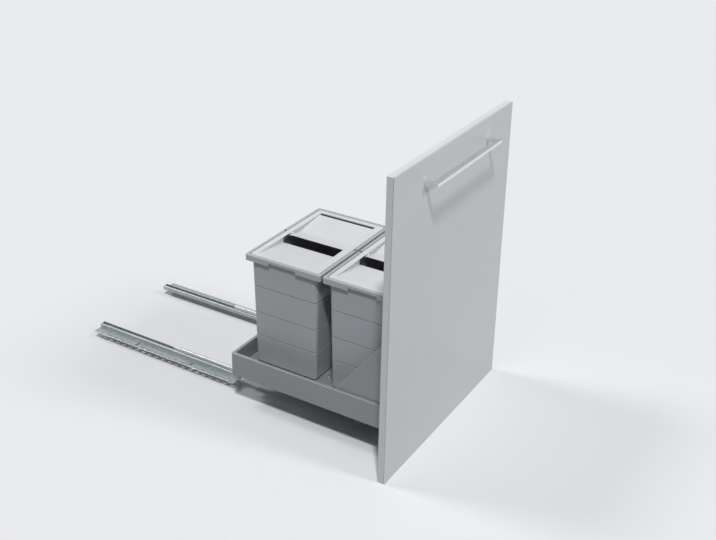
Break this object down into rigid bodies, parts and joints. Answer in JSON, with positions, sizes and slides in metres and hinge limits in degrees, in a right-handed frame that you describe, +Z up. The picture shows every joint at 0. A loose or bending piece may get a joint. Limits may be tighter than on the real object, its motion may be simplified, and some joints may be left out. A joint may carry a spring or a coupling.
{
  "type": "pull out bin frame",
  "caption": "Under-counter pull-out frame on full-extension runners, with a front panel and handle, a steel tray with gusset plates and lift-out waste bins with flap lids.",
  "frame": {"origin": "centre of the four floor-screw holes of the two cabinet rails, on the cabinet floor, with the drawer at full travel as pictured", "axes": "+Z up, +Y into the cabinet (the drawer is pulled out towards -Y), +X to the right seen from in front of the panel"},
  "size_m": [0.597, 1.068, 0.778],
  "materials": {
    "galvanised_steel": "bright zinc-plated rail steel",
    "tray_coat": "silver-grey powder coat",
    "panel_lacquer": "board with a satin silver-grey face",
    "handle_metal": "fine brushed, bright",
    "bin_plastic": "fine-grained grey moulding",
    "lid_plastic": "pale grey moulding, satin",
    "dark_plastic": "black moulding",
    "clip_plastic": "dark grey moulding",
    "roller_steel": "ground and polished rollers",
    "screw_steel": "zinc-plated small steel pieces"
  },
  "bodies": {
    "cabinet_rails": {"left_cabinet_rail": "galvanised_steel", "right_cabinet_rail": "galvanised_steel"},
    "left_middle": {"left_middle_rail": "galvanised_steel"},
    "left_lower_roller_cage": {"left_lower_cage": "screw_steel", "left_lower_rollers": "roller_steel"},
    "left_upper_roller_cage": {"left_upper_cage": "screw_steel", "left_upper_rollers": "roller_steel"},
    "right_middle": {"right_middle_rail": "galvanised_steel"},
    "right_lower_roller_cage": {"right_lower_cage": "screw_steel", "right_lower_rollers": "roller_steel"},
    "right_upper_roller_cage": {"right_upper_cage": "screw_steel", "right_upper_rollers": "roller_steel"},
    "drawer": {"left_drawer_rail": "galvanised_steel", "right_drawer_rail": "galvanised_steel", "left_carrier": "galvanised_steel", "right_carrier": "galvanised_steel", "front_crossbar": "galvanised_steel", "rear_crossbar": "galvanised_steel", "tray": "tray_coat", "left_gusset": "tray_coat", "right_gusset": "tray_coat", "front_panel": "panel_lacquer", "handle": "handle_metal", "left_clip_body": "clip_plastic", "right_clip_body": "clip_plastic"},
    "rear_bin_tub": {"rear_bin": "bin_plastic"},
    "rear_lid": {"rear_lid_frame": "lid_plastic", "rear_flap_pins": "dark_plastic"},
    "rear_flap": {"rear_lid_flap": "lid_plastic"},
    "front_bin_tub": {"front_bin": "bin_plastic"},
    "front_lid": {"front_lid_frame": "lid_plastic", "front_flap_pins": "dark_plastic"},
    "front_flap": {"front_lid_flap": "lid_plastic"},
    "left_lever": {"left_release_lever": "clip_plastic"},
    "right_lever": {"right_release_lever": "clip_plastic"}
  },
  "joints": [
    {"name": "drawer_slide", "type": "slide", "parent": "cabinet_rails", "child": "drawer", "axis": [0, 1, 0], "range_m": [0, 0.5]},
    {"name": "left_middle_slide", "type": "slide", "parent": "cabinet_rails", "child": "left_middle", "axis": [0, 1, 0], "range_m": [0, 0.25]},
    {"name": "left_lower_cage_slide", "type": "slide", "parent": "cabinet_rails", "child": "left_lower_roller_cage", "axis": [0, 1, 0], "range_m": [0, 0.125]},
    {"name": "left_upper_cage_slide", "type": "slide", "parent": "cabinet_rails", "child": "left_upper_roller_cage", "axis": [0, 1, 0], "range_m": [0, 0.375]},
    {"name": "right_middle_slide", "type": "slide", "parent": "cabinet_rails", "child": "right_middle", "axis": [0, 1, 0], "range_m": [0, 0.25]},
    {"name": "right_lower_cage_slide", "type": "slide", "parent": "cabinet_rails", "child": "right_lower_roller_cage", "axis": [0, 1, 0], "range_m": [0, 0.125]},
    {"name": "right_upper_cage_slide", "type": "slide", "parent": "cabinet_rails", "child": "right_upper_roller_cage", "axis": [0, 1, 0], "range_m": [0, 0.375]},
    {"name": "rear_bin_lift", "type": "slide", "parent": "drawer", "child": "rear_bin_tub", "axis": [0, 0, 1], "range_m": [0, 0.68]},
    {"name": "rear_lid_lift", "type": "slide", "parent": "rear_bin_tub", "child": "rear_lid", "axis": [0, 0, 1], "range_m": [0, 0.38]},
    {"name": "rear_flap_hinge", "type": "hinge", "parent": "rear_lid", "child": "rear_flap", "pos_m": [0.002, -0.40575, 0.3914], "axis": [0, -1, 0], "range_deg": [0, 80]},
    {"name": "front_bin_lift", "type": "slide", "parent": "drawer", "child": "front_bin_tub", "axis": [0, 0, 1], "range_m": [0, 0.68]},
    {"name": "front_lid_lift", "type": "slide", "parent": "front_bin_tub", "child": "front_lid", "axis": [0, 0, 1], "range_m": [0, 0.38]},
    {"name": "front_flap_hinge", "type": "hinge", "parent": "front_lid", "child": "front_flap", "pos_m": [0.002, -0.63575, 0.3914], "axis": [0, -1, 0], "range_deg": [0, 80]},
    {"name": "left_lever_squeeze", "type": "hinge", "parent": "drawer", "child": "left_lever", "pos_m": [-0.157, -0.605, 0.0196], "axis": [-1, 0, 0], "range_deg": [0, 5], "stiffness_Nm_per_rad": 0.5},
    {"name": "right_lever_squeeze", "type": "hinge", "parent": "drawer", "child": "right_lever", "pos_m": [0.157, -0.605, 0.0196], "axis": [-1, 0, 0], "range_deg": [0, 5], "stiffness_Nm_per_rad": 0.5}
  ],
  "couplings": [
    {"joint": "left_middle_slide", "follows": "drawer_slide", "ratio": 0.5},
    {"joint": "left_lower_cage_slide", "follows": "drawer_slide", "ratio": 0.25},
    {"joint": "left_upper_cage_slide", "follows": "drawer_slide", "ratio": 0.75},
    {"joint": "right_middle_slide", "follows": "drawer_slide", "ratio": 0.5},
    {"joint": "right_lower_cage_slide", "follows": "drawer_slide", "ratio": 0.25},
    {"joint": "right_upper_cage_slide", "follows": "drawer_slide", "ratio": 0.75}
  ]
}
